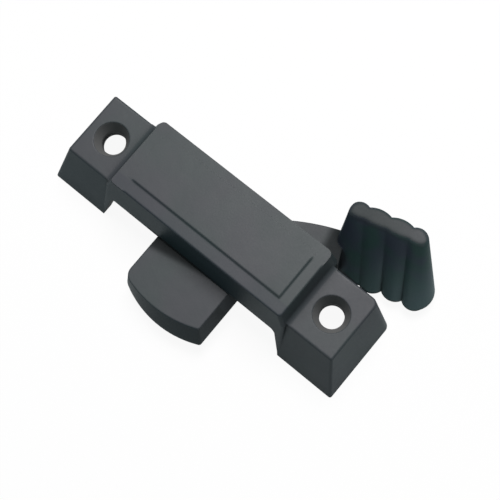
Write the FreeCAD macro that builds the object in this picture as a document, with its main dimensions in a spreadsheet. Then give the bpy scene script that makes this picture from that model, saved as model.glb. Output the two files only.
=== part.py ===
import FreeCAD, Part
import math
import operator
import os
import Sketcher

V = FreeCAD.Vector

# Sliding window lock. A die-cast housing stands on two screwed feet with a raised bridge between them.
# A die-cast lever turns on a stud under the bridge: its tongue points to the front when locked,
# and its ribbed grip stands behind the right foot. A bowed washer gives the lever its drag.
# Frame: X along the housing, Y to the back, Z up.
# The origin is midway between the screw holes, on the mounting face.

doc = FreeCAD.newDocument("sliding_window_lock")
sheet = doc.addObject("Spreadsheet::Sheet", "Sizes")

SIZES = [
    ("base_len", 75.0, "housing length at the mounting face"),
    ("top_len", 68.4, "length over the foot tops"),
    ("base_front", 11.8, "front edge of the feet at the mounting face"),
    ("base_back", 7.3, "back edge of the feet at the mounting face"),
    ("top_front", 6.95, "front edge of the foot tops"),
    ("top_back", 7.6, "back edge of the foot tops"),
    ("foot_z", 12.1, "height of the foot tops"),
    ("front_round", 0.5, "upright corner at the front of a foot"),
    ("back_round", 1.6, "upright corner at the back of the right foot"),
    ("back_round_left", 0.5, "upright corner at the back of the left foot"),
    ("bridge_rise", 3.2, "bridge top above the foot tops"),
    ("bridge_len", 43.5, "length of the bridge top"),
    ("bridge_front", 7.0, "front edge of the bridge top"),
    ("bridge_back", 9.1, "back edge of the bridge top"),
    ("shoulder_len", 46.4, "bridge length where it meets the foot tops"),
    ("skirt_add", 0.5, "bridge skirt past the opening at the mounting face"),
    ("skirt_front", 11.7, "front face of the bridge carried down to the mounting face"),
    ("bridge_round", 0.7, "upright corner at the front of the bridge"),
    ("bridge_round_back", 1.2, "upright corner at the back of the bridge"),
    ("wall", 2.3, "wall of the casting"),
    ("roof", 2.4, "roof of the feet and of the bridge"),
    ("lip_z", 8.45, "underside of the bridge lips"),
    ("open_low", 47.5, "front opening at the mounting face"),
    ("open_high", 42.9, "front opening under the lip"),
    ("open_round", 1.4, "upper corners of the openings"),
    ("back_left", 10.6, "left end of the back opening"),
    ("back_lean", 1.0, "lean of the right end of the back opening"),
    ("stop_gap", 0.4, "locked arm clears the right foot by this"),
    ("panel_len", 39.0, "raised panel on the bridge"),
    ("panel_front", 4.35, "front edge of the raised panel"),
    ("panel_back", 7.2, "back edge of the raised panel"),
    ("panel_rise", 0.3, "height of the raised panel"),
    ("panel_slope", 0.35, "sloped border of the raised panel"),
    ("screw_space", 57.15, "spacing of the screw holes"),
    ("screw_hole", 5.0, "screw hole"),
    ("sink_dia", 7.4, "countersink at the foot top"),
    ("sink_deep", 2.4, "depth of the countersink"),
    ("screw_seat", 4.4, "depth of metal round a screw hole"),
    ("screw_boss", 9.2, "boss round a screw hole"),
    ("stud_dia", 6.0, "pivot stud, cast with the housing"),
    ("stud_boss", 12.0, "boss between the stud and the bridge"),
    ("pivot_fit", 0.05, "radial play of the lever on the stud"),
    ("side_play", 0.05, "play above and below the lever hub"),
    ("head_dia", 8.6, "spun end of the stud"),
    ("head_thick", 1.0, "thickness of the spun end"),
    ("head_bevel", 0.5, "bevelled rim of the spun end"),
    ("plate_dia", 11.6, "flat washer outside"),
    ("plate_thick", 0.6, "flat washer thickness"),
    ("spring_dia", 10.6, "bowed washer outside"),
    ("spring_thick", 0.4, "bowed washer metal"),
    ("spring_bow", 0.6, "bow of the washer"),
    ("washer_play", 0.15, "radial play of the washers on the stud"),
    ("lever_gap", 0.45, "lips clear the lever by this"),
    ("lever_thick", 4.0, "thickness of the lever"),
    ("tongue_left", 9.05, "left side of the tongue top"),
    ("tongue_right", 9.7, "right side of the tongue top"),
    ("tongue_reach", 20.4, "front of the tongue top from the pivot"),
    ("tongue_arc", 25.8, "radius of the front of the tongue top"),
    ("tongue_shift", -0.8, "foremost place of the tongue top"),
    ("tongue_corner", 2.2, "rounded leading corner of the tongue top"),
    ("tongue_nose", 0.6, "trailing corner of the tongue"),
    ("hub_back", 7.8, "back of the hub from the pivot"),
    ("flare_left", 0.6, "left side slopes out to the bottom"),
    ("flare_right", 1.5, "right side slopes out to the bottom"),
    ("low_reach", 22.55, "front of the tongue bottom from the pivot"),
    ("low_arc", 22.05, "radius of the front of the tongue bottom"),
    ("low_shift", 1.5, "foremost place of the tongue bottom"),
    ("low_corner", 2.6, "rounded leading corner of the tongue bottom"),
    ("flare_back", 0.7, "hub back slopes out to the bottom"),
    ("arm_turn", 25.5, "direction of the arm from the length of the housing"),
    ("arm_back", 4.95, "back edge of the arm from its centre line, under the bridge"),
    ("arm_back_end", 5.15, "back edge of the arm from its centre line, at the grip"),
    ("arm_bow", 0.35, "bow of the back edge of the arm"),
    ("arm_root", 13.0, "where the bow of the arm begins"),
    ("arm_front", 1.9, "front edge of the arm from its centre line"),
    ("arm_len", 24.5, "arm length from the pivot"),
    ("grip_turn", 13.0, "direction of the grip from the length of the housing"),
    ("grip_low", 2.5, "bottom of the grip"),
    ("grip_tall", 13.5, "height of the grip"),
    ("crown", 0.45, "bevelled crown of the grip"),
    ("grip_left", 22.45, "left end of the grip top"),
    ("grip_front", 12.1, "front valleys of the grip top"),
    ("grip_thick", 2.85, "grip top between its valleys"),
    ("rib_pitch", 4.45, "rib spacing at the grip bottom"),
    ("top_pitch", 4.65, "rib spacing at the grip top"),
    ("rib_front", 1.0, "height of a front rib over its valleys, at the bottom"),
    ("rib_fade", 0.25, "height of a front rib over its valleys, at the top"),
    ("rib_back", 0.55, "height of a back rib over its valleys"),
    ("top_first", 3.25, "first rib at the grip top"),
    ("top_last", 3.05, "last rib at the grip top"),
    ("end_rise", 0.6, "rounded end of the grip top"),
    ("top_drop", 0.3, "back corners of the grip top drawn in by this"),
    ("left_rise", 0.3, "slightly rounded left end of the grip"),
    ("foot_left", 22.0, "front left corner of the grip bottom"),
    ("foot_left_front", 4.6, "front left corner of the grip bottom from the pivot line"),
    ("foot_front", 3.55, "front valleys of the grip bottom"),
    ("foot_first", 7.3, "first rib at the grip bottom"),
    ("foot_nearer", 0.8, "first front valley of the grip bottom lies nearer the foot by this"),
    ("foot_last", 4.1, "last rib at the grip bottom"),
    ("foot_thick", 6.2, "grip bottom at its right end"),
    ("foot_end_rise", 1.35, "rounded end of the grip bottom"),
    ("foot_back_left", 21.2, "back left corner of the grip bottom"),
    ("foot_back_near", 3.7, "back left corner from the front valleys"),
    ("cast_edge", 0.45, "soft edge of the castings"),
    ("top_edge", 0.3, "soft edge of the bridge top"),
    ("step_blend", 0.9, "blend from the foot tops to the bridge"),
]

for row, (alias, number, note) in enumerate(SIZES, start=1):
    sheet.set("A%d" % row, note)
    sheet.set("B%d" % row, str(number))
    sheet.setAlias("B%d" % row, alias)
doc.recompute()

SIGNS = {"+": operator.add, "-": operator.sub, "*": operator.mul, "/": operator.truediv}


class Size:
    """A value together with the formula on the sheet that gives it."""

    def __init__(self, text, value):
        self.text = text
        self.value = value

    def join(self, other, sign, other_first=False):
        if not isinstance(other, Size):
            other = Size(repr(float(other)), float(other))
        first, second = (other, self) if other_first else (self, other)
        value = SIGNS[sign](first.value, second.value)
        return Size("(%s %s %s)" % (first.text, sign, second.text), value)

    def __add__(self, other):
        return self.join(other, "+")

    def __radd__(self, other):
        return self.join(other, "+", True)

    def __sub__(self, other):
        return self.join(other, "-")

    def __rsub__(self, other):
        return self.join(other, "-", True)

    def __mul__(self, other):
        return self.join(other, "*")

    def __rmul__(self, other):
        return self.join(other, "*", True)

    def __truediv__(self, other):
        return self.join(other, "/")

    def __neg__(self):
        return self.join(-1, "*")


def root(size):
    return Size("sqrt(%s)" % size.text, math.sqrt(size.value))


def cosine(angle):
    return Size("cos(%s)" % angle.text, math.cos(math.radians(angle.value)))


def sine(angle):
    return Size("sin(%s)" % angle.text, math.sin(math.radians(angle.value)))


def between(low, high, share):
    """The value at a share of the way from low to high."""
    return low + (high - low) * share


S = {alias: Size("Sizes." + alias, float(sheet.get(alias))) for alias, number, note in SIZES}
ZERO = Size("0", 0.0)

# Levels, from the sizes.
bridge_z = S["foot_z"] + S["bridge_rise"]
lever_top = S["lip_z"] - S["lever_gap"]
lever_low = lever_top - S["lever_thick"]
boss_low = lever_top + S["side_play"]
spring_top = lever_low - S["side_play"]
plate_top = spring_top - S["spring_bow"] - S["spring_thick"]
head_top = plate_top - S["plate_thick"]
head_low = head_top - S["head_thick"]
grip_top = S["grip_low"] + S["grip_tall"]


def plane(body, role):
    for feature in body.Origin.OriginFeatures:
        if feature.Role == role:
            return feature
    raise RuntimeError("no plane " + role)


def new_body(label):
    body = doc.addObject("PartDesign::Body", label)
    body.Label = label
    return body


def new_sketch(body, name, role="XY_Plane", lift=None, turn=None):
    """A sketch on one of the body's own planes, lifted along its normal and turned in it."""
    sketch = body.newObject("Sketcher::SketchObject", name)
    sketch.AttachmentSupport = [(plane(body, role), "")]
    sketch.MapMode = "FlatFace"
    height = lift.value if lift is not None else 0.0
    angle = turn.value if turn is not None else 0.0
    sketch.AttachmentOffset = FreeCAD.Placement(V(0, 0, height), FreeCAD.Rotation(V(0, 0, 1), angle))
    if lift is not None:
        sketch.setExpression("AttachmentOffset.Base.z", lift.text)
    if turn is not None:
        sketch.setExpression("AttachmentOffset.Rotation.Angle", turn.text)
    return sketch


def drive(sketch, kind, places, size):
    """Adds a constraint whose value is a formula on the sheet."""
    index = sketch.addConstraint(Sketcher.Constraint(kind, *places, size.value))
    name = "size%d" % index
    sketch.renameConstraint(index, name)
    sketch.setExpression("Constraints." + name, size.text)


def hold(sketch, geo, end, x, y):
    """Places one point of the sketch from its origin."""
    for kind, axis, size in (("DistanceX", -2, x), ("DistanceY", -1, y)):
        if abs(size.value) < 1e-9:
            sketch.addConstraint(Sketcher.Constraint("PointOnObject", geo, end, axis))
        elif size.value > 0:
            drive(sketch, kind, (-1, 1, geo, end), size)
        else:
            drive(sketch, kind, (geo, end, -1, 1), -size)


def bow(start, end, rise):
    """The radius of an arc that rises by this over its chord."""
    dx = end[0] - start[0]
    dy = end[1] - start[1]
    return ((dx * dx + dy * dy) / 4 + rise * rise) / (rise * 2)


def outline(sketch, corners):
    """A closed outline, anticlockwise. A corner is (x, y, rise): the edge that leaves it is straight
    where rise is None, and an arc that bulges outwards by rise, or inwards where inward is the fourth item."""
    ends = []
    for n, corner in enumerate(corners):
        after = corners[(n + 1) % len(corners)]
        start = V(corner[0].value, corner[1].value, 0)
        end = V(after[0].value, after[1].value, 0)
        if corner[2] is None:
            geo = sketch.addGeometry(Part.LineSegment(start, end), False)
            ends.append((geo, 1, 2))
            continue
        inward = len(corner) > 3
        along = (end - start).normalize()
        out = V(along.y, -along.x, 0) * (-1 if inward else 1)
        middle = (start + end) / 2 + out * corner[2].value
        geo = sketch.addGeometry(Part.Arc(start, middle, end), False)
        drive(sketch, "Radius", (geo,), bow(corner, after, corner[2]))
        ends.append((geo, 2, 1) if inward else (geo, 1, 2))
    for n, corner in enumerate(corners):
        geo, first, last = ends[n]
        before, unused, tail = ends[n - 1]
        sketch.addConstraint(Sketcher.Constraint("Coincident", before, tail, geo, first))
        hold(sketch, geo, first, corner[0], corner[1])


def circle(sketch, x, y, radius):
    geo = sketch.addGeometry(Part.Circle(V(x.value, y.value, 0), V(0, 0, 1), radius.value), False)
    drive(sketch, "Radius", (geo,), radius)
    hold(sketch, geo, 3, x, y)


def corner_box(sketch, left, right, front, back, at_front, at_right, at_left):
    """A box outline with rounded corners: two alike at the front, and one on each side at the back."""
    share = 1 - math.sqrt(0.5)
    outline(sketch, [
        (left + at_front, front, None),
        (right - at_front, front, at_front * share),
        (right, front + at_front, None),
        (right, back - at_right, at_right * share),
        (right - at_right, back, None),
        (left + at_left, back, at_left * share),
        (left, back - at_left, None),
        (left, front + at_front, at_front * share),
    ])


def plain_box(sketch, left, right, front, back):
    outline(sketch, [(left, front, None), (right, front, None), (right, back, None), (left, back, None)])


def need_change(name, before, after, grows):
    """Stops if a feature left the volume as it was, or changed it the wrong way."""
    if (after - before) * (1 if grows else -1) < 0.001:
        raise RuntimeError("%s has no effect: %.4f to %.4f" % (name, before, after))


def volume(body):
    return body.Shape.Volume if body.Tip else 0.0


def loft(body, name, sections, cut=False):
    before = volume(body)
    feature = body.newObject("PartDesign::SubtractiveLoft" if cut else "PartDesign::AdditiveLoft", name)
    feature.Profile = sections[0]
    feature.Sections = sections[1:]
    feature.Ruled = True
    doc.recompute()
    need_change(name, before, volume(body), not cut)


def extrude(body, name, sketch, length, cut=False, against=False):
    """A pad, or a pocket, along the sketch's normal, or against it."""
    before = volume(body)
    feature = body.newObject("PartDesign::Pocket" if cut else "PartDesign::Pad", name)
    feature.Profile = sketch
    feature.Length = length.value
    feature.setExpression("Length", length.text)
    # A pocket runs against its sketch's normal unless it is reversed.
    feature.Reversed = cut != against
    doc.recompute()
    need_change(name, before, volume(body), not cut)


def soften(body, name, size, wanted, bevel=False):
    """Rounds, or bevels, the edges of the body's present shape that wanted picks."""
    base = body.Tip
    picked = ["Edge%d" % n for n, edge in enumerate(base.Shape.Edges, start=1) if wanted(edge)]
    if not picked:
        raise RuntimeError(name + " finds no edge")
    feature = body.newObject("PartDesign::Chamfer" if bevel else "PartDesign::Fillet", name)
    feature.Base = (base, picked)
    field = "Size" if bevel else "Radius"
    setattr(feature, field, size.value)
    feature.setExpression(field, size.text)
    doc.recompute()
    if "Invalid" in feature.State or not feature.Shape.isValid():
        raise RuntimeError("%s fails on %s" % (name, picked))


def level(edge, z):
    """True where an edge lies flat at the height z."""
    box = edge.BoundBox
    return abs(box.ZMin - z) < 0.02 and abs(box.ZMax - z) < 0.02


def housing_shell(body):
    """Two drafted feet with the bridge between them, and their soft outer edges."""
    half_base = S["base_len"] / 2
    half_top = S["top_len"] / 2
    foot_low = new_sketch(body, "foot_outline_low")
    corner_box(foot_low, -half_base, half_base, -S["base_front"], S["base_back"],
               S["front_round"], S["back_round"], S["back_round_left"])
    foot_high = new_sketch(body, "foot_outline_high", lift=S["foot_z"])
    corner_box(foot_high, -half_top, half_top, -S["top_front"], S["top_back"],
               S["front_round"], S["back_round"], S["back_round_left"])
    loft(body, "feet", [foot_low, foot_high])

    half_skirt = S["open_low"] / 2 + S["skirt_add"]
    half_shoulder = S["shoulder_len"] / 2
    half_bridge = S["bridge_len"] / 2
    shoulder_front = between(S["skirt_front"], S["bridge_front"], S["foot_z"] / bridge_z)
    skirt = new_sketch(body, "bridge_outline_low")
    corner_box(skirt, -half_skirt, half_skirt, -S["skirt_front"], S["base_back"],
               S["bridge_round"], S["bridge_round_back"], S["bridge_round_back"])
    shoulder = new_sketch(body, "bridge_outline_shoulder", lift=S["foot_z"])
    corner_box(shoulder, -half_shoulder, half_shoulder, -shoulder_front, S["bridge_back"],
               S["bridge_round"], S["bridge_round_back"], S["bridge_round_back"])
    top = new_sketch(body, "bridge_outline_high", lift=bridge_z)
    corner_box(top, -half_bridge, half_bridge, -S["bridge_front"], S["bridge_back"],
               S["bridge_round"], S["bridge_round_back"], S["bridge_round_back"])
    loft(body, "bridge", [skirt, shoulder, top])

    # The outer edges of the tops are soft.
    foot_z = S["foot_z"].value
    corner_x = (half_top - S["back_round"]).value - 0.01

    def foot_rim(edge):
        box = edge.BoundBox
        return level(edge, foot_z) and max(abs(box.XMin), abs(box.XMax)) > corner_x

    soften(body, "foot_rims", S["cast_edge"], foot_rim)
    soften(body, "bridge_rim", S["top_edge"], lambda edge: level(edge, bridge_z.value))

    # A hollow blend leads from each foot top up to the bridge.
    lean = (half_shoulder - half_bridge) / S["bridge_rise"]
    for side, name in ((-1, "left"), (1, "right")):
        blend = new_sketch(body, name + "_step_blend_outline", role="XZ_Plane", lift=-S["top_back"])
        inside = (half_shoulder - S["wall"] / 2) * side
        near = (half_shoulder - lean * S["step_blend"]) * side
        far = (half_shoulder + S["step_blend"]) * side
        high = S["foot_z"] + S["step_blend"]
        below = S["foot_z"] - S["roof"] / 2
        corners = [(inside, below), (far, below), (far, S["foot_z"]), (near, high), (inside, high)]
        edges = [None, None, "hollow", None, None]
        if side < 0:
            corners = corners[::-1]
            edges = [None, "hollow", None, None, None]
        hollow = S["step_blend"] * (1 - math.sqrt(0.5))
        outline(blend, [(*corner, hollow, "inward") if edge else (*corner, None)
                        for corner, edge in zip(corners, edges)])
        extrude(body, name + "_step_blend", blend, S["top_front"] + S["top_back"])


def opening(sketch, low_left, low_right, high_left, high_right, sunk):
    """The outline of a gap between the feet, open below, with rounded upper corners."""
    top = S["lip_z"]

    def corner(low, high):
        lean = low - high
        side = root(lean * lean + top * top)
        reach = S["open_round"] * top / (side + lean)
        share = reach / side
        # An arc between two tangent lengths, seen from the chord between their ends.
        chord = root((reach + lean * share) * (reach + lean * share) + top * share * top * share)
        rise = S["open_round"] - root(S["open_round"] * S["open_round"] - chord * chord / 4)
        return high + lean * share, top - top * share, high - reach, rise

    right_x, right_y, right_end, right_rise = corner(low_right, high_right)
    left_x, left_y, left_end, left_rise = corner(low_left, high_left)
    outline(sketch, [
        (-low_left, -sunk, None),
        (low_right, -sunk, None),
        (low_right, ZERO, None),
        (right_x, right_y, right_rise),
        (right_end, top, None),
        (-left_end, top, left_rise),
        (-left_x, left_y, None),
        (-low_left, ZERO, None),
    ])


def housing_core(body):
    """The cored underside: hollow feet, a hollow bridge and the openings for the lever."""
    foot_core = S["foot_z"] - S["roof"]
    share = foot_core / S["foot_z"]
    half_low = S["base_len"] / 2 - S["wall"]
    half_high = between(S["base_len"], S["top_len"], share) / 2 - S["wall"]
    low = new_sketch(body, "foot_core_low")
    plain_box(low, -half_low, half_low, S["wall"] - S["base_front"], S["base_back"] - S["wall"])
    high = new_sketch(body, "foot_core_high", lift=foot_core)
    plain_box(high, -half_high, half_high, S["wall"] - between(S["base_front"], S["top_front"], share),
              between(S["base_back"], S["top_back"], share) - S["wall"])
    loft(body, "foot_core", [low, high], cut=True)

    bridge_core = bridge_z - S["roof"]
    share = bridge_core / bridge_z
    half_low = S["open_low"] / 2 + S["skirt_add"] - S["wall"]
    half_high = S["shoulder_len"] / 2 - S["wall"]
    low = new_sketch(body, "bridge_core_low")
    plain_box(low, -half_low, half_low, S["wall"] - S["skirt_front"], S["base_back"] - S["wall"])
    high = new_sketch(body, "bridge_core_high", lift=bridge_core)
    plain_box(high, -half_high, half_high, S["wall"] - between(S["skirt_front"], S["bridge_front"], share),
              S["bridge_back"] - S["wall"])
    loft(body, "bridge_core", [low, high], cut=True)

    front = new_sketch(body, "front_opening_outline", role="XZ_Plane")
    opening(front, S["open_low"] / 2, S["open_low"] / 2, S["open_high"] / 2, S["open_high"] / 2, S["wall"])
    extrude(body, "front_opening", front, S["base_front"] + S["wall"], cut=True, against=False)

    # The arm leaves at the back. Its front edge meets the right end of the opening when locked.
    stop_y = between(S["base_back"], S["bridge_back"], lever_top / S["foot_z"])
    stop_x = (S["arm_front"] + S["stop_gap"] + stop_y * cosine(S["arm_turn"])) / sine(S["arm_turn"])
    back = new_sketch(body, "back_opening_outline", role="XZ_Plane")
    opening(back, S["back_left"], stop_x + S["back_lean"], S["back_left"], stop_x, S["wall"])
    extrude(body, "back_opening", back, S["bridge_back"] + S["wall"], cut=True, against=True)


def housing_details(body):
    """Screw bosses and holes, the pivot stud with its spun end, and the raised panel."""
    screw_x = S["screw_space"] / 2
    for side, name in ((-1, "left"), (1, "right")):
        boss = new_sketch(body, name + "_screw_boss_outline", lift=S["foot_z"] - S["screw_seat"])
        circle(boss, screw_x * side, ZERO, S["screw_boss"] / 2)
        extrude(body, name + "_screw_boss", boss, S["screw_seat"] - S["roof"] / 2)
        hole = new_sketch(body, name + "_screw_hole_outline")
        circle(hole, screw_x * side, ZERO, S["screw_hole"] / 2)
        extrude(body, name + "_screw_hole", hole, bridge_z, cut=True, against=False)
        sink_low = new_sketch(body, name + "_sink_low", lift=S["foot_z"] - S["sink_deep"])
        circle(sink_low, screw_x * side, ZERO, S["screw_hole"] / 2)
        sink_high = new_sketch(body, name + "_sink_high", lift=S["foot_z"])
        circle(sink_high, screw_x * side, ZERO, S["sink_dia"] / 2)
        loft(body, name + "_countersink", [sink_low, sink_high], cut=True)

    boss = new_sketch(body, "stud_boss_outline", lift=boss_low)
    circle(boss, ZERO, ZERO, S["stud_boss"] / 2)
    extrude(body, "stud_boss", boss, bridge_z - S["roof"] / 2 - boss_low)
    stud = new_sketch(body, "stud_outline", lift=head_low)
    circle(stud, ZERO, ZERO, S["stud_dia"] / 2)
    extrude(body, "stud", stud, boss_low - head_low)
    head = new_sketch(body, "spun_end_outline", lift=head_low)
    circle(head, ZERO, ZERO, S["head_dia"] / 2)
    extrude(body, "spun_end", head, S["head_thick"])
    soften(body, "spun_rim", S["head_bevel"], lambda edge: level(edge, head_low.value), bevel=True)

    half = S["panel_len"] / 2
    low = new_sketch(body, "panel_outline_low", lift=bridge_z)
    plain_box(low, -half, half, -S["panel_front"], S["panel_back"])
    high = new_sketch(body, "panel_outline_high", lift=bridge_z + S["panel_rise"])
    inner = half - S["panel_slope"]
    plain_box(high, -inner, inner, S["panel_slope"] - S["panel_front"], S["panel_back"] - S["panel_slope"])
    loft(body, "raised_panel", [low, high])


def make_housing():
    body = new_body("housing")
    housing_shell(body)
    housing_core(body)
    housing_details(body)
    return body


def tongue_outline(sketch, left, right, reach, arc, shift, corner, nose, back):
    """The tongue and hub in one outline: straight sides, an arc across the front, rounded corners."""

    def corner_points(side, radius, sign):
        """Where a corner leaves the side at x = side, and where it meets the front arc."""
        dx = side - radius * sign - shift
        dy = root((arc - radius) * (arc - radius) - dx * dx)
        scale = arc / (arc - radius)
        return (side, arc - reach - dy), (shift + dx * scale, arc - reach - dy * scale)

    def rise_of(radius, start, end):
        dx = end[0] - start[0]
        dy = end[1] - start[1]
        return radius - root(radius * radius - (dx * dx + dy * dy) / 4)

    left_side, left_front = corner_points(-left, corner, -1)
    right_side, right_front = corner_points(right, nose, 1)
    outline(sketch, [
        (-left, ZERO, None),
        (*left_side, rise_of(corner, left_side, left_front)),
        (*left_front, rise_of(arc, left_front, right_front)),
        (*right_front, rise_of(nose, right_front, right_side)),
        (*right_side, None),
        (right, ZERO, back),
    ])


def grip_outline(sketch, valleys, front, thick, front_left, back_left, nearer, drop, rises):
    """A strip with a rounded rib between each two of its valleys, on both faces."""
    rib_front, rib_back, end_rise = rises
    corners = [(*front_left, rib_front), (valleys[0], front - nearer, rib_front)]
    corners += [(u, front, rib_front) for u in valleys[1:-1]]
    corners.append((valleys[-1], front, end_rise))
    corners.append((valleys[-1], front + thick - drop, rib_back))
    corners += [(u, front + thick, rib_back) for u in reversed(valleys[:-1])]
    corners.append((*back_left, S["left_rise"]))
    outline(sketch, corners)


def steps(start, *widths):
    """The places reached from start by one step after another."""
    places = []
    for width in widths:
        start = start + width
        places.append(start)
    return places


def make_lever():
    body = new_body("latch_lever")
    low = new_sketch(body, "tongue_outline_low", lift=lever_low)
    tongue_outline(low, S["tongue_left"] + S["flare_left"], S["tongue_right"] + S["flare_right"],
                   S["low_reach"], S["low_arc"], S["low_shift"], S["low_corner"], S["tongue_nose"],
                   S["hub_back"] + S["flare_back"])
    high = new_sketch(body, "tongue_outline_high", lift=lever_top)
    tongue_outline(high, S["tongue_left"], S["tongue_right"], S["tongue_reach"], S["tongue_arc"],
                   S["tongue_shift"], S["tongue_corner"], S["tongue_nose"], S["hub_back"])
    loft(body, "tongue_and_hub", [low, high])

    arm = new_sketch(body, "arm_outline", lift=lever_low, turn=S["arm_turn"])
    outline(arm, [
        (ZERO, -S["arm_front"], None),
        (S["arm_len"], -S["arm_front"], None),
        (S["arm_len"], S["arm_back_end"], S["arm_bow"]),
        (S["arm_root"], S["arm_back"], None),
        (ZERO, S["arm_back"], None),
    ])
    extrude(body, "arm", arm, S["lever_thick"])

    # The grip leans back and to the left, narrows to a thin ribbed cap, and has a bevelled crown.
    low = new_sketch(body, "grip_outline_low", lift=S["grip_low"], turn=S["grip_turn"])
    grip_outline(low, steps(S["foot_left"], S["foot_first"], S["rib_pitch"], S["rib_pitch"], S["foot_last"]),
                 S["foot_front"], S["foot_thick"], (S["foot_left"], S["foot_left_front"]),
                 (S["foot_back_left"], S["foot_front"] + S["foot_back_near"]), S["foot_nearer"], ZERO,
                 (S["rib_front"], S["rib_back"], S["foot_end_rise"]))
    rises = (S["rib_fade"], S["rib_back"], S["end_rise"])
    drop = S["top_drop"]
    neck = new_sketch(body, "grip_outline_neck", lift=grip_top - S["crown"], turn=S["grip_turn"])
    grip_outline(neck, steps(S["grip_left"], S["top_first"], S["top_pitch"], S["top_pitch"], S["top_last"]),
                 S["grip_front"], S["grip_thick"], (S["grip_left"], S["grip_front"]),
                 (S["grip_left"] + drop, S["grip_front"] + S["grip_thick"] - drop), ZERO, drop, rises)
    cap_left = S["grip_left"] + S["crown"]
    cap_front = S["grip_front"] + S["crown"]
    cap_thick = S["grip_thick"] - S["crown"] * 2
    high = new_sketch(body, "grip_outline_high", lift=grip_top, turn=S["grip_turn"])
    grip_outline(high, steps(cap_left, S["top_first"] - S["crown"], S["top_pitch"], S["top_pitch"],
                             S["top_last"] - S["crown"]),
                 cap_front, cap_thick, (cap_left, cap_front),
                 (cap_left + drop, cap_front + cap_thick - drop), ZERO, drop, rises)
    loft(body, "thumb_grip", [low, neck, high])

    bore = new_sketch(body, "bore_outline")
    circle(bore, ZERO, ZERO, S["stud_dia"] / 2 + S["pivot_fit"])
    extrude(body, "pivot_bore", bore, bridge_z, cut=True, against=False)
    return body


def make_spring_washer():
    """A ring bent to a shallow arc, so that it presses the lever up against its boss."""
    body = new_body("spring_washer")
    half = S["spring_dia"] / 2
    low = plate_top
    high = plate_top + S["spring_thick"]
    strip = new_sketch(body, "bowed_strip", role="XZ_Plane", lift=-S["spring_dia"])
    outline(strip, [
        (-half, low, S["spring_bow"], "inward"),
        (half, low, None),
        (half, high, S["spring_bow"]),
        (-half, high, None),
    ])
    extrude(body, "strip", strip, S["spring_dia"] * 2)
    ring = new_sketch(body, "ring_outline")
    circle(ring, ZERO, ZERO, S["stud_dia"] / 2 + S["washer_play"])
    circle(ring, ZERO, ZERO, half)
    circle(ring, ZERO, ZERO, S["spring_dia"] * 2)
    extrude(body, "ring", ring, bridge_z, cut=True, against=False)
    return body


def make_flat_washer():
    body = new_body("flat_washer")
    ring = new_sketch(body, "ring_outline_flat", lift=head_top)
    circle(ring, ZERO, ZERO, S["plate_dia"] / 2)
    circle(ring, ZERO, ZERO, S["stud_dia"] / 2 + S["washer_play"])
    extrude(body, "plate", ring, S["plate_thick"])
    return body


bodies = [make_housing(), make_lever(), make_spring_washer(), make_flat_washer()]

for item in doc.Objects:
    if "Invalid" in item.State or "Error" in item.State:
        raise RuntimeError("%s failed: %s" % (item.Name, item.State))

os.makedirs("parts", exist_ok=True)
for body in bodies:
    shape = body.Shape
    if shape.isNull() or not shape.isValid() or len(shape.Solids) != 1:
        raise RuntimeError(body.Label + " is not one valid solid")
    shape.exportStep("parts/%s.step" % body.Label)
    box = shape.BoundBox
    print("%-14s %9.2f mm3  x %.2f..%.2f  y %.2f..%.2f  z %.2f..%.2f" % (
        body.Label, shape.Volume, box.XMin, box.XMax, box.YMin, box.YMax, box.ZMin, box.ZMax))
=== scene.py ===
# %% [markdown]
# # A black painted lock for a sliding window
#
# The lock is two zinc die castings. The housing is a bridge on two feet, each with a countersunk screw
# hole. The lever swings under the bridge: a wide tongue at the front, an arm and an upright ribbed thumb
# grip at the back. Two washers lie below the lever. The shapes are finished solids, so this lesson is
# about what makes black paint look real: the paint's own grain, the way it rounds an edge, the wear on it,
# and the light that it is seen in.
#
# The first cell loads the solids. They are in metres, with the window's rail at z = 0.

# %% Load the castings
import math
from types import SimpleNamespace

import bpy
from mathutils import Matrix, Vector

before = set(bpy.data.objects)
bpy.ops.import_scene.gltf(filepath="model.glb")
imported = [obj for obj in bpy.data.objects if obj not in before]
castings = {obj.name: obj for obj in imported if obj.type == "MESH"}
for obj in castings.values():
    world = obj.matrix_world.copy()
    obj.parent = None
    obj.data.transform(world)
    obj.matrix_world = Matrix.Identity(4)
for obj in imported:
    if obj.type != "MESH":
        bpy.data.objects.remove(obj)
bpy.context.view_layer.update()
MM = 0.001

print("pieces:", ", ".join(sorted(castings)))

# %% [markdown]
# ## The camera
#
# The lock is seen from above, a little from its front and right. A long lens a short way off keeps its
# edges nearly parallel. A camera could be aimed with a Track To constraint, but then its roll is hard to
# set. Here its three directions are written down instead: right, up and the way it looks, which a
# rotation matrix takes as its columns.

# %% Place the camera
LENS_MM = 79.8
EYE = Vector((56.06, -27.09, 221.31)) * MM
RIGHT = Vector((0.76323, 0.63957, -0.09185))
LOOK = Vector((-0.22099, 0.12481, -0.96726))


def make_camera():
    data = bpy.data.cameras.new("camera")
    data.lens = LENS_MM
    data.sensor_width = 36.0
    data.clip_start = 0.01
    camera = bpy.data.objects.new("camera", data)
    up = RIGHT.cross(LOOK).normalized()
    turn = Matrix((RIGHT.normalized(), up, -LOOK.normalized())).transposed()
    camera.matrix_world = Matrix.Translation(EYE) @ turn.to_4x4()
    bpy.context.scene.collection.objects.link(camera)
    bpy.context.scene.camera = camera


make_camera()
bpy.context.scene.view_settings.view_transform = "Standard"
print("the lens is", LENS_MM, "mm, and the camera is", round(EYE.length / MM), "mm from the lock's middle")

# %% [markdown]
# ## Shader maths in Python
#
# A material is a graph of small nodes. Wiring each Math node by hand hides what is worked out, so a small
# class holds one output of a node, and the operators + - * / on it add the Math nodes. Three more methods
# turn a number into a mask between 0 and 1, with a soft step where it passes a level.

# %% One output of a node


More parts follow.
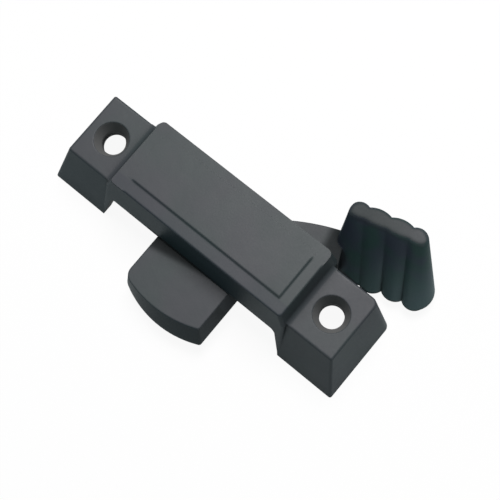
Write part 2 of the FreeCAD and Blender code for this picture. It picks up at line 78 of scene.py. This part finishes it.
class Wire:
    """One output of a shader node, with arithmetic."""

    def __init__(self, finish, socket):
        self.finish = finish
        self.socket = socket

    def __add__(self, other):
        return self.finish.maths("ADD", self, other)

    def __radd__(self, other):
        return self.finish.maths("ADD", other, self)

    def __sub__(self, other):
        return self.finish.maths("SUBTRACT", self, other)

    def __rsub__(self, other):
        return self.finish.maths("SUBTRACT", other, self)

    def __mul__(self, other):
        return self.finish.maths("MULTIPLY", self, other)

    def __rmul__(self, other):
        return self.finish.maths("MULTIPLY", other, self)

    def __truediv__(self, other):
        return self.finish.maths("DIVIDE", self, other)

    def __rtruediv__(self, other):
        return self.finish.maths("DIVIDE", other, self)

    def __abs__(self):
        return self.finish.maths("ABSOLUTE", self)

    def root(self):
        return self.finish.maths("SQRT", self)

    def or_more(self, other):
        """The larger of the two."""
        return self.finish.maths("MAXIMUM", self, other)

    def ramp(self, start, end):
        """0 at start and 1 at end, smooth between them. It runs backwards where start is the larger."""
        sockets = {"Value": self, "From Min": start, "From Max": end}
        return self.finish.node("ShaderNodeMapRange", {"interpolation_type": "SMOOTHSTEP"}, sockets)

    def above(self, level, soft):
        """0 up to level, and 1 from level + soft."""
        return self.ramp(level, level + soft)

    def below(self, level, soft):
        """1 up to level, and 0 from level + soft."""
        return self.ramp(level + soft, level)


print("a Wire adds, subtracts, multiplies, divides and ramps")

# %% [markdown]
# ## One class for a material
#
# The second class holds a material's tree and makes every node. A node's settings come first, because they
# decide which sockets it has. The world has a node tree too, so the class can be given that one instead.

# %% A material and its nodes


class Finish:
    """A material and its node tree, or the tree of the world."""

    def __init__(self, name, tree=None):
        self.tree = tree
        if tree is None:
            self.material = bpy.data.materials.new(name)
            self.material.use_nodes = True
            self.tree = self.material.node_tree
        self.tree.nodes.clear()

    def node(self, kind, settings=None, sockets=None, out=0):
        made = self.tree.nodes.new(kind)
        for name, value in (settings or {}).items():
            setattr(made, name, value)
        for name, value in (sockets or {}).items():
            if isinstance(value, Wire):
                self.tree.links.new(value.socket, made.inputs[name])
            else:
                made.inputs[name].default_value = value
        return Wire(self, made.outputs[out])

    def maths(self, operation, *values):
        return self.node("ShaderNodeMath", {"operation": operation}, dict(enumerate(values)))

    def part(self, vector, axis):
        """The X, Y or Z of a vector."""
        return self.node("ShaderNodeSeparateXYZ", None, {0: vector}, out=axis)

    def place(self):
        """Where a point is on the object, in metres."""
        return self.node("ShaderNodeTexCoord", out="Object")

    def facing(self):
        """Which way the face of a point looks."""
        return self.node("ShaderNodeNewGeometry", out="True Normal")

    def noise(self, place, size, detail, roughness):
        """Blotches about size metres across, from 0 to 1."""
        sockets = {"Vector": place, "Scale": 1.0 / size, "Detail": detail, "Roughness": roughness}
        return self.node("ShaderNodeTexNoise", None, sockets)

    def rounding(self, radius, samples=8):
        """The normal, bent within radius of an edge."""
        return self.node("ShaderNodeBevel", {"samples": samples}, {"Radius": radius})

    def mix_colour(self, share, first, second):
        # The colours of a Mix node are its inputs 6 and 7, and its output 2. Its vectors are 4, 5 and 1.
        return self.node("ShaderNodeMix", {"data_type": "RGBA"}, {0: share, 6: first, 7: second}, out=2)

    def mix_direction(self, share, first, second):
        return self.node("ShaderNodeMix", {"data_type": "VECTOR"}, {0: share, 4: first, 5: second}, out=1)

    def bump(self, height, depth, normal):
        sockets = {"Height": height, "Distance": depth, "Strength": 1.0, "Normal": normal}
        return self.node("ShaderNodeBump", None, sockets)

    def end(self, **sockets):
        """The Principled shader and the output. A socket's name is written with _ for each space."""
        named = {name.replace("_", " "): value for name, value in sockets.items()}
        self.show(self.node("ShaderNodeBsdfPrincipled", None, named))
        return self.material

    def show(self, surface, kind="ShaderNodeOutputMaterial"):
        output = self.tree.nodes.new(kind)
        self.tree.links.new(surface.socket, output.inputs["Surface"])


print("a Finish makes nodes, noise, rounding, mixes and bumps")

# %% [markdown]
# ## Black paint over a casting
#
# The castings are covered in one satin paint, very dark grey. A single dark colour would look like
# plastic. What makes paint look real is its grain, its soft edges, and wear and dirt in the right places.
# Here the paint also carries painted shade and painted light in some places, and the next cells make all
# these one at a time, before the last of them puts the paint together.
#
# Some wear belongs to one place, so the paint has to know where it is. Marks could be painted by hand into
# an image, but that needs a UV map, and it blurs close up. Here they are worked out from Object
# coordinates, which are sharp at any size. These give a point's place in metres, and they become
# millimetres here, together with what the marks need: the distance from the pivot and from the nearer
# screw hole, and how far along the grip or across the arm a point is. The lever's coordinates turn with
# it, and so do its marks.

# %% Places in millimetres
SCREW_X = 28.575
BRIDGE_BACK = 9.1
ARM_TURN = math.radians(25.5)
GRIP_TURN = math.radians(13.0)


def find_place(finish):
    at = SimpleNamespace()
    place = finish.place()
    facing = finish.facing()
    at.x, at.y, at.z = (finish.part(place, axis) / MM for axis in "XYZ")
    at.faces_up = finish.part(facing, "Z").above(0.6, 0.3)
    at.faces_front = finish.part(facing, "Y").below(-0.85, 0.3)
    at.side = abs(at.x)
    at.from_pivot = (at.x * at.x + at.y * at.y).root()
    screw_x = at.side - SCREW_X
    at.from_screw = (screw_x * screw_x + at.y * at.y).root()
    at.along_grip = at.x * math.cos(GRIP_TURN) + at.y * math.sin(GRIP_TURN)
    at.across_arm = at.y * math.cos(ARM_TURN) - at.x * math.sin(ARM_TURN)
    at.behind_bridge = at.y.above(BRIDGE_BACK + 0.05, 0.3)
    return at


print("the screw holes are at x =", -SCREW_X, "and", SCREW_X)

# %% [markdown]
# ## Marks on the housing
#
# Each mark is a mask: a product of soft steps, 1 inside its place and 0 outside. What is known of a mark
# is its tone. Several marks are painted light or painted shade. For the others, what made them is only the
# likely cause.
#
# - sink: the two countersinks, painted a lighter grey: painted light on cones that the lamp hardly
#   reaches.
# - spun: the end of the pivot stud. It is spun over a washer after painting, which leaves bare zinc.
# - lip: the strip between the raised panel and the front edge, a shade bluer and darker.
# - filled: the left and back steps of the panel, as if thick paint had almost levelled them.
# - film: the fronts, mostly at the left, painted darker and teal: painted shade on faces turned
#   away from the lamp. The tongue has it too.

# %% Find the housing's marks
FOOT_TOP = 12.1
SINK_RADIUS = 3.7
SINK_BOTTOM = 9.5
SPUN_TOP = 1.9
SPUN_RADIUS = 4.3
BRIDGE_TOP = 15.3
BRIDGE_END = 21.75
PANEL_FRONT = -4.35
PANEL_BACK = 7.2
PANEL_END = 19.5
FILM_END = 6.0


def housing_marks(at):
    bare = 1.0 - at.behind_bridge
    on_bridge = at.z.above(BRIDGE_TOP - 0.4, 0.3) * at.side.below(BRIDGE_END + 0.15, 0.3) * bare
    in_sink = at.z.above(SINK_BOTTOM - 0.5, 0.5) * at.z.below(FOOT_TOP - 0.2, 0.19)
    # The countersinks are painted lighter: painted light on their shaded cones.
    at.sink = at.from_screw.below(SINK_RADIUS + 0.1, 0.2) * in_sink
    at.spun = at.z.below(SPUN_TOP - 0.2, 0.2) * at.from_pivot.below(SPUN_RADIUS + 0.1, 0.1)
    at.lip = on_bridge * at.y.below(PANEL_FRONT - 0.35, 0.4)
    back_step = at.y.above(PANEL_BACK - 2.2, 1.5)
    left_step = at.x.below(0.7 - PANEL_END, 1.3)
    at.filled = on_bridge * back_step.or_more(left_step)
    # The fronts are painted darker and teal: painted shade on faces turned away from the lamp.
    at.film = at.faces_front * at.x.below(FILM_END, 12.0) * bare * (1.0 - at.sink)


print("five marks on the housing, the highest at", BRIDGE_TOP, "mm")

# %% [markdown]
# ## Marks on the lever
#
# - smear: a dark wedge on the tongue in front of the bridge: painted shadow of the bridge.
#   It is broad at the left and fades to the right.
# - skirt: the upright front and left sides of the tongue, painted dark: painted shade.
# - junction: the top of the arm just before the grip, painted dark: painted shadow of the grip. The
#   rest of the arm has a little of it, as painted shade.
# - cap: the top of the grip, painted darker and made duller, most at its left end: painted shade.
# - dust: the lower half of the grip, further from the arm, painted paler: painted light from the floor.
# - oiled: the ribbed faces of the grip, greenish here and bluish there, as skin oil may turn paint.
# - grip_rim: the upper rim of the grip, which is rounded more softly than the other edges.

# %% Find the lever's marks
LEVER_TOP = 8.0
TONGUE_SIDE = 11.2
TONGUE_ROOT = -8.0
TONGUE_FRONT = -12.4
TONGUE_LEFT = -9.2
SMEAR_FRONT = -9.95
SMEAR_SLANT = 0.20
ARM_FRONT = -1.9
ARM_START = 12.0
GRIP_START = 21.3
GRIP_MIDDLE = 34.0
GRIP_END = 44.0
CAP_TOP = 15.6
RIM_BOTTOM = 11.5
DUST_TOP = 14.0


def lever_marks(at):
    on_tongue = at.side.below(TONGUE_SIDE + 0.2, 0.4) * at.y.below(TONGUE_ROOT - 0.4, 0.4)
    on_tongue = on_tongue * at.z.below(LEVER_TOP + 0.8, 0.4)
    from_smear_front = at.y - SMEAR_FRONT - at.x * SMEAR_SLANT
    # A dark wedge painted on the tongue: painted shadow of the bridge.
    at.smear = on_tongue * from_smear_front.above(-0.8, 1.7)
    front_or_left = at.y.below(TONGUE_FRONT, 0.5).or_more(at.x.below(TONGUE_LEFT, 0.3))
    # The tongue's front and left sides are painted dark: painted shade.
    at.skirt = on_tongue * front_or_left * at.z.below(LEVER_TOP - 0.4, 0.35)

    arm_top = at.z.below(LEVER_TOP + 0.7, 0.5) * at.z.above(LEVER_TOP - 1.0, 0.8) * at.faces_up
    on_arm = arm_top * at.across_arm.above(ARM_FRONT - 0.3, 0.25) * at.along_grip.above(ARM_START, 3.0)
    # The arm's top is painted dark before the grip: painted shadow of the grip, with a little painted
    # shade on the rest of the arm.
    at.junction = on_arm * (0.22 + at.along_grip.above(GRIP_START - 2.4, 2.4))

    left_end = at.along_grip.below(GRIP_END - 18.0, 18.0)
    far_end = at.along_grip.above(GRIP_MIDDLE - 12.0, 12.0)
    # The grip's top is painted darker, most at its left end: painted shade.
    at.cap = at.behind_bridge * at.z.above(CAP_TOP - 0.7, 0.7) * left_end
    # The grip's lower half is painted paler: painted light from the floor.
    at.dust = at.behind_bridge * at.z.below(DUST_TOP - 11.0, 11.0) * far_end
    at.oiled = at.behind_bridge * (1.0 - at.faces_up)
    at.grip_rim = at.behind_bridge * at.z.above(RIM_BOTTOM, 3.0)


print("seven marks on the lever, the furthest at", GRIP_END, "mm from the pivot")

# %% [markdown]
# ## Six kinds of unevenness
#
# Nothing painted is quite even. The smallest noise is the paint's own pebbled grain of about a third of a
# millimetre, and ripple is the slight waviness of a casting under it. The larger ones vary the roughness,
# the tint, the scuffs along the edges and the stains of the grip. One noise with more detail could stand
# for them all, but then grain and blotches would keep the same places, which real ones don't.

# %% Make the noises


def paint_noises(paint, at):
    place = paint.place()
    at.grain = paint.noise(place, 0.34 * MM, 2.0, 0.45)
    at.ripple = paint.noise(place, 2.2 * MM, 1.0, 0.4)
    at.blotch = paint.noise(place, 9.0 * MM, 3.0, 0.6)
    at.tint = paint.noise(place, 14.0 * MM, 2.0, 0.5)
    at.scuff = paint.noise(place, 1.1 * MM, 4.0, 0.7)
    at.drift = paint.noise(place, 6.0 * MM, 1.0, 0.5)


print("six noises, from 0.34 mm to 14 mm")

# %% [markdown]
# ## Soft edges, and painted shade in the corners
#
# Paint pulls back from every sharp edge, so that edges look soft. A Bevel modifier could round them, but
# it would change the solids. The Bevel node bends only the normal near an edge. Where the bent normal and
# the true one differ there is an edge, which the same node finds for free, and there the paint is rubbed a
# little smoother and greyer.
#
# Ambient Occlusion is low wherever a surface has others close to it, so it finds each inside corner
# without a word about the shape. There the paint is painted darker, which is painted shade, and its
# roughness rises. The tongue's and the junction's painted shadows and the skirt's painted shade are
# darker still, and the largest of all these counts.

# %% Find edges and corners
EDGE_RADIUS = 0.45 * MM
CORNER_REACH = 4.5 * MM


def edges_and_grime(paint, at):
    at.soft = paint.rounding(EDGE_RADIUS)
    both = {0: at.soft, 1: paint.facing()}
    same = paint.node("ShaderNodeVectorMath", {"operation": "DOT_PRODUCT"}, both, out="Value")
    at.rubbed = same.ramp(0.99, 0.80) * at.scuff.ramp(0.35, 0.75) * (1.0 - at.filled)
    only_near = {"samples": 12, "only_local": True}
    open_sky = paint.node("ShaderNodeAmbientOcclusion", only_near, {"Distance": CORNER_REACH}, out="AO")
    # Inside corners are painted darker by Ambient Occlusion: painted shade.
    at.corner = open_sky.ramp(0.93, 0.50) * (1.0 - at.sink) * (1.0 - at.filled)
    at.thick = at.smear.or_more(at.junction)
    # All the painted shade and painted shadows together, the largest counting.
    at.grime = (at.corner * 0.8).or_more((at.thick * 0.95).or_more(at.skirt * 0.6))


print("a corner is what has another face within", round(CORNER_REACH / MM, 1), "mm")

# %% [markdown]
# ## One colour over another
#
# The paint's tint drifts slowly between a blue-green black and a bluer one. Each kind of wear or dirt, and
# each patch of painted light or painted shade, has a colour of its own, laid over the others as a share
# that hides what is under it. The painted shade comes near the end, and the bare metal last. The colours
# are linear values, which is why they look so low. They could be multiplied together instead, but then
# no layer could be lighter than the one under it.

# %% Lay the colours
TEAL_BLACK = (0.033, 0.044, 0.046, 1.0)
BLUE_BLACK = (0.038, 0.043, 0.049, 1.0)
DEEP_BLUE = (0.012, 0.014, 0.028, 1.0)
RUBBED_PAINT = (0.060, 0.068, 0.072, 1.0)
# Painted light for the grip's lower half.
DUSTY_PAINT = (0.066, 0.104, 0.108, 1.0)
# Painted light for the countersinks.
THIN_PAINT = (0.130, 0.133, 0.131, 1.0)
OIL_GREEN = (0.018, 0.050, 0.046, 1.0)
OIL_BLUE = (0.030, 0.040, 0.060, 1.0)
# Painted shade for the fronts.
OLD_POLISH = (0.009, 0.026, 0.034, 1.0)
# Painted shade for inside corners, the painted shadows and the grip's top.
GRIME = (0.010, 0.013, 0.014, 1.0)
BARE_ZINC = (0.55, 0.55, 0.54, 1.0)


def paint_colour(paint, at):
    colour = paint.mix_colour(at.tint.ramp(0.35, 0.65), TEAL_BLACK, BLUE_BLACK)
    stain = paint.mix_colour(at.drift.ramp(0.38, 0.60), OIL_GREEN, OIL_BLUE)
    layers = (
        (at.oiled * 0.85, stain),
        # painted shade on the fronts
        (at.film * 0.7, OLD_POLISH),
        (at.rubbed * 0.6, RUBBED_PAINT),
        # painted light on the grip's lower half
        (at.dust * 0.9, DUSTY_PAINT),
        # painted light in the countersinks
        (at.sink * 0.8, THIN_PAINT),
        (at.cap * 0.45, GRIME),
        (at.lip * 0.30, DEEP_BLUE),
        # painted shade in corners, and the painted shadows
        (at.grime, GRIME),
        (at.spun, BARE_ZINC),
    )
    for share, layer in layers:
        colour = paint.mix_colour(share, colour, layer)
    return colour


print("nine layers over a paint between", TEAL_BLACK[:3], "and", BLUE_BLACK[:3])

# %% [markdown]
# ## The whole paint
#
# Roughness starts from satin, varies with the blotches and the grain, rises where corners, shadows and the
# grip's top are painted dark as shade, and falls a little where an edge is rubbed. The normal starts from
# the soft edges. On the filled steps it points straight up, so that they hardly show, and along the grip's
# rim it is bent further. The grain goes on last.

# %% The black paint
SATIN = 0.47
GRIP_RIM_RADIUS = 1.3 * MM
GRAIN_DEPTH = 0.012 * MM
STRAIGHT_UP = (0.0, 0.0, 1.0)


def black_paint():
    paint = Finish("black_paint")
    at = find_place(paint)
    housing_marks(at)
    lever_marks(at)
    paint_noises(paint, at)
    edges_and_grime(paint, at)

    uneven = (at.blotch - 0.5) * 0.12 + (at.grain - 0.5) * 0.10
    dull = at.corner * 0.25 + at.cap * 0.12 + at.thick * 0.25
    rough = SATIN + uneven + dull - at.rubbed * 0.06 - at.spun * 0.12
    rounded = paint.mix_direction(at.filled, at.soft, STRAIGHT_UP)
    rounded = paint.mix_direction(at.grip_rim * 0.85, rounded, paint.rounding(GRIP_RIM_RADIUS))
    return paint.end(
        Base_Color=paint_colour(paint, at),
        Roughness=rough,
        Metallic=at.spun,
        Normal=paint.bump(at.grain * 0.6 + at.ripple * 1.2, GRAIN_DEPTH, rounded),
        Specular_IOR_Level=0.25,
    )


paint = black_paint()
print("black paint:", len(paint.node_tree.nodes), "nodes")

# %% [markdown]
# ## The two washers
#
# Below the lever a bowed washer of spring steel presses on it, and a flat plated washer spreads the load
# of the spun stud. Both look stamped and tumbled: no brushed lines, only a fine matt grain and a few
# darker blotches, of oil on the one and of dulled zinc on the other. One function makes both, because only
# their numbers differ.

# %% Washer steel


def washer_steel(name, bright, dull, rough, blotch_size):
    steel = Finish(name)
    place = steel.place()
    soft = steel.rounding(0.12 * MM, 6)
    blotch = steel.noise(place, blotch_size, 4.0, 0.6)
    grain = steel.noise(place, 0.12 * MM, 2.0, 0.5)
    colour = steel.mix_colour(blotch.ramp(0.35, 0.7), bright, dull)
    roughness = rough + (blotch - 0.5) * 0.2 + (grain - 0.5) * 0.15
    normal = steel.bump(grain, 0.004 * MM, soft)
    return steel.end(Base_Color=colour, Roughness=roughness, Metallic=1.0, Normal=normal)


OILED_SPRING = (0.36, 0.35, 0.34, 1.0)
DARK_SPRING = (0.20, 0.19, 0.19, 1.0)
BRIGHT_PLATE = (0.66, 0.66, 0.63, 1.0)
DULL_PLATE = (0.50, 0.51, 0.50, 1.0)
spring_steel = washer_steel("spring_steel", OILED_SPRING, DARK_SPRING, rough=0.36, blotch_size=1.6 * MM)
plated_steel = washer_steel("plated_steel", BRIGHT_PLATE, DULL_PLATE, rough=0.32, blotch_size=2.4 * MM)
print("washers:", spring_steel.name, "and", plated_steel.name)

# %% [markdown]
# ## Put the finishes on
#
# The solids keep their meshes. Each has one material slot, and the finish goes into it.

# %% Dress the solids
FINISHES = {
    "housing": paint,
    "latch_lever": paint,
    "spring_washer": spring_steel,
    "flat_washer": plated_steel,
}
for node, finish in FINISHES.items():
    slots = castings[node].material_slots
    for slot in slots:
        slot.material = finish
    print(node, "is dressed in", finish.name, "in", len(slots), "slot")

# %% [markdown]
# ## The floor
#
# The lock lies on a plain white floor. A white floor that is only lit never comes out evenly white, so a
# part of what the camera sees of it is a steady white glow, and the rest is a lit white surface that
# still takes the lock's shadow. The glow is there for the camera and for glass, weaker in a gloss, and it
# lights nothing. The world is done the same way. What does light the lock from them is weak and
# blue-green, which the fronts pick up.

# %% Floor and world
FLOOR_REACH = 1.2
FLOOR_DROP = 0.05 * MM
FLOOR_SEEN = (0.85, 0.85, 0.85, 1.0)
FLOOR_LIGHTING = (0.27, 0.38, 0.40, 1.0)
GLOW_SHARE = 0.93
MIRRORED_SHARE = 0.3
WHITE = (1.0, 1.0, 1.0, 1.0)


def seen_directly(finish):
    """1 for what the camera or glass sees, less for what a gloss mirrors, and 0 for what gives light."""
    camera = finish.node("ShaderNodeLightPath", out="Is Camera Ray")
    glossy = finish.node("ShaderNodeLightPath", out="Is Glossy Ray")
    glass = finish.node("ShaderNodeLightPath", out="Is Transmission Ray")
    return camera.or_more(glass.or_more(glossy * MIRRORED_SHARE))


def white_floor():
    floor = Finish("white_floor")
    seen = seen_directly(floor)
    unseen = floor.node("ShaderNodeBsdfDiffuse", None, {"Color": FLOOR_LIGHTING})
    white = floor.node("ShaderNodeBsdfDiffuse", None, {"Color": FLOOR_SEEN})
    lit = floor.node("ShaderNodeMixShader", None, {0: seen, 1: unseen, 2: white})
    glow = floor.node("ShaderNodeEmission", None, {"Color": WHITE, "Strength": 1.0})
    surface = floor.node("ShaderNodeMixShader", None, {0: seen * GLOW_SHARE, 1: lit, 2: glow})
    floor.show(surface)
    mesh = bpy.data.meshes.new("floor")
    ways = [(-1, -1), (1, -1), (1, 1), (-1, 1)]
    corners = [(x * FLOOR_REACH, y * FLOOR_REACH, -FLOOR_DROP) for x, y in ways]
    mesh.from_pydata(corners, [], [(0, 1, 2, 3)])
    mesh.materials.append(floor.material)
    plane = bpy.data.objects.new("floor", mesh)
    bpy.context.scene.collection.objects.link(plane)


def pale_world(strength, tint):
    world = bpy.data.worlds.new("world")
    world.use_nodes = True
    bpy.context.scene.world = world
    room = Finish("room", world.node_tree)
    around = room.node("ShaderNodeBackground", None, {"Color": tint, "Strength": strength})
    behind = room.node("ShaderNodeBackground", None, {"Color": WHITE, "Strength": 1.0})
    surface = room.node("ShaderNodeMixShader", None, {0: seen_directly(room), 1: around, 2: behind})
    room.show(surface, "ShaderNodeOutputWorld")


white_floor()
pale_world(strength=0.10, tint=(0.62, 0.97, 1.0, 1.0))
print("the floor is", 2 * FLOOR_REACH, "m wide")

# %% [markdown]
# ## The light
#
# Several lamps could light the lock, but they would fill the shadows that show its shape. So one large
# soft lamp hangs high over the back of the lock, a little to the left. Satin black shows mostly what it
# mirrors, and this lamp is what makes the tops grey. It is faintly pink, which takes the green out of the
# paint there. The fronts face away from it and stay dark and teal, and the bridge throws its soft shadow
# on the tongue.

# %% One soft lamp


def soft_lamp(name, place, target, size, power, colour):
    data = bpy.data.lights.new(name, "AREA")
    data.shape = "DISK"
    data.size = size
    data.energy = power
    data.color = colour
    lamp = bpy.data.objects.new(name, data)
    lamp.location = place
    aim = Vector(target) - Vector(place)
    lamp.rotation_mode = "QUATERNION"
    lamp.rotation_quaternion = aim.to_track_quat("-Z", "Y")
    bpy.context.scene.collection.objects.link(lamp)
    print(name, "gives", power, "W from", round(aim.length, 2), "m")


LAMP_PLACE = (-0.09, 0.26, 0.61)
FAINT_PINK = (1.0, 0.955, 0.96)
soft_lamp("key_lamp", LAMP_PLACE, target=(0, 0, 0), size=0.40, power=5.7, colour=FAINT_PINK)
